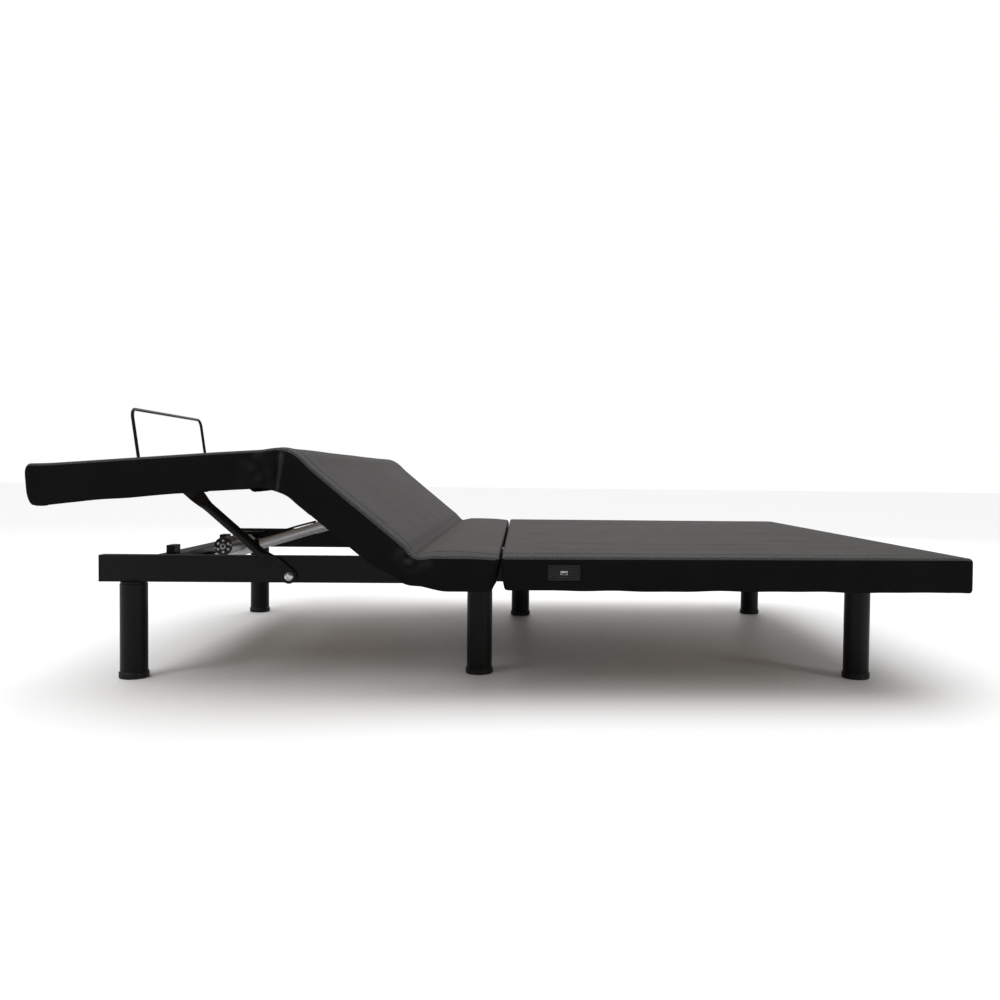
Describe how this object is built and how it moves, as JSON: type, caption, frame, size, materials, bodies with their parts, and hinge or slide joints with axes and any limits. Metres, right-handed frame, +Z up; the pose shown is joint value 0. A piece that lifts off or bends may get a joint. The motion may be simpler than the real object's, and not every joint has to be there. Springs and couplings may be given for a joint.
{
  "type": "adjustable bed base",
  "caption": "Adjustable bed base: fabric-covered head, seat, thigh and calf sections on a steel frame with round legs, raised by linear drives, with support links and a retainer bar.",
  "frame": {"origin": "on the floor under the centre of the base as it stands with its foot end raised", "axes": "+X towards the head end, +Y towards the far side, +Z up"},
  "size_m": [1.9218, 1.53, 0.6264],
  "materials": {
    "cover_fabric": "matte",
    "board_wood": "matte",
    "black_plastic": "matte",
    "black_rubber": "matte",
    "drive_aluminium": "satin",
    "rod_steel": "polished",
    "zinc_steel": "satin",
    "black_powder_coat": "satin"
  },
  "bodies": {
    "frame": {"foot_rail_near": "black_powder_coat", "foot_rail_far": "black_powder_coat", "head_rail_near": "black_powder_coat", "head_rail_far": "black_powder_coat", "foot_cross_tube": "black_powder_coat", "drive_cross_tube": "black_powder_coat", "centre_cross_tube": "black_powder_coat", "head_cross_tube": "black_powder_coat", "corner_gussets": "black_powder_coat", "leg_plates": "black_powder_coat", "leg_foot_near": "black_powder_coat", "leg_foot_far": "black_powder_coat", "leg_mid_near": "black_powder_coat", "leg_mid_far": "black_powder_coat", "leg_head_near": "black_powder_coat", "leg_head_far": "black_powder_coat", "leg_glides": "black_plastic", "rest_posts": "black_rubber", "rail_pads": "black_rubber", "rail_joint_bolts": "zinc_steel", "link_pivot_bolts": "zinc_steel", "seat_board": "board_wood", "seat_fascias": "board_wood", "seat_cover": "cover_fabric", "seat_hinge_brackets": "black_powder_coat", "drive_brackets": "black_powder_coat", "control_box": "black_plastic", "power_inlet": "black_plastic"},
    "head_section": {"head_board": "board_wood", "head_fascias": "board_wood", "head_cover": "cover_fabric", "head_frame_tubes": "black_powder_coat", "head_lift_bar": "black_powder_coat", "head_hinge_arms": "black_powder_coat", "head_hinge_pins": "zinc_steel", "usb_panels": "black_plastic"},
    "thigh_section": {"thigh_board": "board_wood", "thigh_fascias": "board_wood", "thigh_cover": "cover_fabric", "thigh_frame_tubes": "black_powder_coat", "thigh_lift_bar": "black_powder_coat", "thigh_hinge_pins": "zinc_steel"},
    "calf_section": {"calf_board": "board_wood", "calf_fascias": "board_wood", "calf_cover": "cover_fabric", "calf_frame_tubes": "black_powder_coat", "link_brackets": "black_powder_coat", "link_top_bolts": "zinc_steel", "retainer_sockets": "black_powder_coat"},
    "retainer": {"retainer_bar": "black_powder_coat"},
    "link_near": {"support_link_near": "black_powder_coat"},
    "link_far": {"support_link_far": "black_powder_coat"},
    "foot_drive": {"foot_gearbox": "black_plastic", "foot_motor": "drive_aluminium", "foot_drive_tube": "drive_aluminium"},
    "foot_push_rod": {"foot_drive_rod": "rod_steel"},
    "head_drive": {"head_gearbox": "black_plastic", "head_motor": "drive_aluminium", "head_drive_tube": "drive_aluminium"},
    "head_push_rod": {"head_drive_rod": "rod_steel"}
  },
  "joints": [
    {"name": "thigh_lift", "type": "hinge", "parent": "frame", "child": "thigh_section", "pos_m": [-0.19706, 0, 0.272], "axis": [0, 1, 0], "range_deg": [-39.5, 0]},
    {"name": "knee_fold", "type": "hinge", "parent": "thigh_section", "child": "calf_section", "pos_m": [-0.4517, 0, 0.48191], "axis": [0, 1, 0], "range_deg": [0, 44.02]},
    {"name": "link_near_swing", "type": "hinge", "parent": "frame", "child": "link_near", "pos_m": [-0.49706, 0, 0.233], "axis": [0, 1, 0], "range_deg": [-37.99, 0]},
    {"name": "link_far_swing", "type": "hinge", "parent": "frame", "child": "link_far", "pos_m": [-0.49706, 0, 0.233], "axis": [0, 1, 0], "range_deg": [-37.99, 0]},
    {"name": "foot_drive_tilt", "type": "hinge", "parent": "frame", "child": "foot_drive", "pos_m": [-0.83106, 0, 0.226], "axis": [0, 1, 0], "range_deg": [0, 13.74]},
    {"name": "foot_drive_stroke", "type": "slide", "parent": "foot_drive", "child": "foot_push_rod", "axis": [0.9562, 0, 0.2927], "range_m": [-0.05033, 0]},
    {"name": "head_lift", "type": "hinge", "parent": "frame", "child": "head_section", "pos_m": [-0.01706, 0, 0.288], "axis": [0, -1, 0], "range_deg": [0, 60]},
    {"name": "head_drive_tilt", "type": "hinge", "parent": "frame", "child": "head_drive", "pos_m": [-0.26606, 0, 0.195], "axis": [0, -1, 0], "range_deg": [0, 4.19]},
    {"name": "head_drive_stroke", "type": "slide", "parent": "head_drive", "child": "head_push_rod", "axis": [0.9982, 0, 0.0604], "range_m": [0, 0.07754]},
    {"name": "retainer_lift_out", "type": "slide", "parent": "calf_section", "child": "retainer", "axis": [-0.1374, 0, 0.9905], "range_m": [0, 0.06]}
  ],
  "couplings": [
    {"joint": "knee_fold", "follows": "thigh_lift", "ratio": -1.1139},
    {"joint": "link_near_swing", "follows": "thigh_lift", "ratio": 0.96121},
    {"joint": "link_far_swing", "follows": "thigh_lift", "ratio": 0.96121},
    {"joint": "foot_drive_tilt", "follows": "thigh_lift", "ratio": -0.3474},
    {"joint": "foot_drive_stroke", "follows": "thigh_lift", "m_per_rad": 0.072984},
    {"joint": "head_drive_tilt", "follows": "head_lift", "ratio": 0.069532},
    {"joint": "head_drive_stroke", "follows": "head_lift", "m_per_rad": 0.074025}
  ]
}
